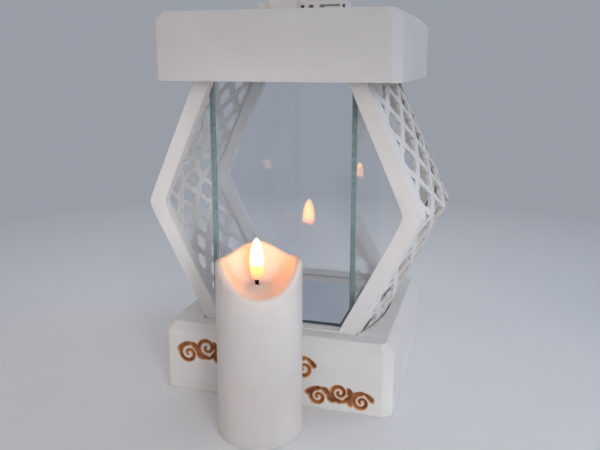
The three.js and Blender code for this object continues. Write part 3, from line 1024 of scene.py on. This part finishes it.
def bowl_wall(rim):
    """From the lip down into the bowl and up the mound round the wick."""
    inner = CANDLE_R - 2 * LIP
    steps = 18
    points = []
    for k in range(steps + 1):
        t = k / steps
        radius = inner - (inner - WICK_HOLE) * t
        mound = MOUND * math.exp(-((radius / MOUND_R) ** 2))
        points.append((radius, BOWL_Z + (rim - BOWL_Z - LIP) * (1 - t) ** BOWL_CURVE + mound))
    return points


def wax_section(angle):
    """The wax's closed section at one angle, as (radius, height) from the foot and round."""
    rim = rim_height(angle)
    hollow = [(WICK_HOLE, LAMP_BORE_TOP + 0.2 * MM), (LAMP_BORE_R, LAMP_BORE_TOP),
              (LAMP_BORE_R, HOLLOW_TOP), (HOLLOW_R, HOLLOW_TOP), (HOLLOW_R, FOOT_Z)]
    return outer_wall(rim) + bowl_wall(rim) + hollow


def make_wax():
    around = 144
    bm = bmesh.new()
    columns = []
    for i in range(around):
        angle = 2 * math.pi * i / around
        columns.append([
            bm.verts.new((CANDLE_CENTRE[0] + r * math.cos(angle),
                          CANDLE_CENTRE[1] + r * math.sin(angle), z))
            for r, z in wax_section(angle)
        ])
    count = len(columns[0])
    for here, there in zip(columns, columns[1:] + columns[:1]):
        for k in range(count):
            up = (k + 1) % count
            bm.faces.new((here[k], there[k], there[up], here[up]))
    piece("wax_pillar", mesh_from("wax_pillar", bm), "candle", ["wax_body"], "wax", WAX, smooth=40)


def smoothed(points):
    """A Catmull-Rom curve through 2-D points."""
    steps = 4
    knots = [Vector(p) for p in (points[0], *points, points[-1])]
    result = []
    for a, b, c, d in zip(knots, knots[1:], knots[2:], knots[3:]):
        for k in range(steps):
            t = k / steps
            curve = (2 * b + (c - a) * t + (2 * a - 5 * b + 4 * c - d) * t ** 2
                     + (3 * b - a - 3 * c + d) * t ** 3) / 2
            result.append((max(curve.x, 0.0), curve.y))
    return [*result, tuple(knots[-1])]


def make_flame():
    low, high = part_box("flame")
    height = high[2] - low[2]
    reach = (high[0] - low[0]) / 2
    shape = ((0, 0), (0.42, 0.003), (0.66, 0.03), (0.79, 0.09), (0.865, 0.20), (0.895, 0.35),
             (0.885, 0.49), (0.82, 0.63), (0.69, 0.76), (0.48, 0.88), (0.25, 0.96), (0.09, 0.99),
             (0, 1))
    profile = [(reach * r, low[2] + height * t) for r, t in smoothed(shape)]
    bm = turned_bmesh(profile, middle_of(low, high), 40)
    piece("flame_tip", mesh_from("flame_tip", bm), "candle", ["flame"], "flame_resin", FLAME,
          smooth=80)


def make_wick():
    low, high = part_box("wick")
    radius = (high[0] - low[0]) / 2
    steps = 12
    profile = [(0, low[2]), (radius * 0.9, low[2])]
    for k in range(1, steps):
        t = k / steps
        profile.append((radius * (0.9 + 0.06 * math.sin(9 * t)), low[2] + (high[2] - low[2]) * t))
    profile += [(radius * 0.7, high[2] - 0.2 * MM), (0, high[2])]
    bm = turned_bmesh(profile, middle_of(low, high), 24)
    piece("wick_stub", mesh_from("wick_stub", bm), "candle", ["wick"], "black_plastic", WICK,
          smooth=40)


def make_candle_foot():
    rounded_copy("foot_cap", "bottom_cap", "candle", "white_plastic", WHITE_PLASTIC, 0.3 * MM)
    ridged_copy("hatch", "battery_door", "battery_door", "white_plastic", WHITE_PLASTIC,
                count=5, reach=0.006, depth=0.0004, along=1)
    ridged_copy("slide_button", "switch_slider", "switch_slider", "black_plastic", BLACK_PLASTIC,
                count=3, reach=0.0011, depth=0.0003, along=0)


# ---- kept CAD nodes ----
KEPT = {
    "base_glue_block": BOARD,
    "lid_glue_block": BOARD,
    "core_housing": WHITE_PLASTIC,
    "battery_cradle": WHITE_PLASTIC,
    "contact_spring": STEEL,
    "battery_cell": BATTERY,
    "led_lead": STEEL,
    "contact_strip": STEEL,
    "circuit_board": CIRCUIT,
    "switch_body": BLACK_PLASTIC,
    "led_lamp": LAMP,
}


def dress_kept_nodes():
    for name, obj in NODES.items():
        for prefix, material in KEPT.items():
            if name.startswith(prefix):
                for slot in obj.material_slots:
                    slot.material = material


# ---- stage and light ----
def make_stage():
    """The floor, just below the object."""
    bm = bmesh.new()
    bmesh.ops.create_grid(bm, x_segments=2, y_segments=2, size=25,
                          matrix=Matrix.Translation((0, 0, -0.0002)))
    mesh = mesh_from("floor", bm)
    mesh.materials.append(floor_material())
    floor = bpy.data.objects.new("floor", mesh)
    bpy.context.scene.collection.objects.link(floor)


def area_light(name, at, aim, size, power, colour, spread=180, mirrored=True):
    """A soft lamp of a size in metres and a power in watts; only a mirrored one shows in gloss."""
    data = bpy.data.lights.new(name, "AREA")
    data.shape = "RECTANGLE"
    data.size, data.size_y = size
    data.energy = power
    data.color = colour
    data.spread = math.radians(spread)
    light = bpy.data.objects.new(name, data)
    light.location = at
    light.visible_glossy = mirrored
    direction = Vector(aim) - Vector(at)
    light.rotation_euler = direction.to_track_quat("-Z", "Y").to_euler()
    bpy.context.scene.collection.objects.link(light)


def make_lights():
    aim = (0, 0, 0.17)
    pale_blue = (0.97, 0.98, 1.0)
    area_light("key", (0.95, -1.45, 0.85), aim, (1.2, 1.2), 6.4, (1.0, 0.985, 0.98))
    area_light("warm", (-1.3, -1.0, 0.7), aim, (1.2, 1.2), 3.8, (1.0, 0.69, 0.43))
    area_light("side", (1.5, 0.5, 0.8), aim, (1.0, 1.2), 5.2, (0.66, 0.80, 1.0))
    area_light("low", (0.8, -1.05, 0.4), (0.08, -0.06, 0.01), (0.4, 0.3), 0.14, pale_blue,
               spread=24, mirrored=False)
    area_light("inner", (0.52, -0.85, 0.26), (-0.115, 0.02, 0.175), (0.2, 0.12), 0.042,
               (0.87, 0.93, 1.0), spread=15, mirrored=False)
    area_light("back", (-0.7, 1.6, 0.9), aim, (1.2, 1.2), 4.5, (0.88, 0.93, 1.0), mirrored=False)
    area_light("top", (0.1, 0.2, 2.2), aim, (2.0, 2.0), 2.5, pale_blue)
    world = bpy.data.worlds.new("studio")
    bpy.context.scene.world = world
    world.use_nodes = True
    background = world.node_tree.nodes["Background"]
    background.inputs["Color"].default_value = (*BACKDROP, 1)
    background.inputs["Strength"].default_value = 1


make_base()
make_mirror()
for side_name in ("front", "back"):
    make_hexagon(side_name)
make_panes()
for side_name in ("left", "right"):
    for up_name in ("upper", "lower"):
        make_lattice(side_name, up_name)
make_lid()
make_boards()
make_screws()
make_candle_foot()
make_wax()
make_flame()
make_wick()
dress_kept_nodes()
make_stage()
make_lights()
bpy.context.scene.view_settings.view_transform = "Standard"
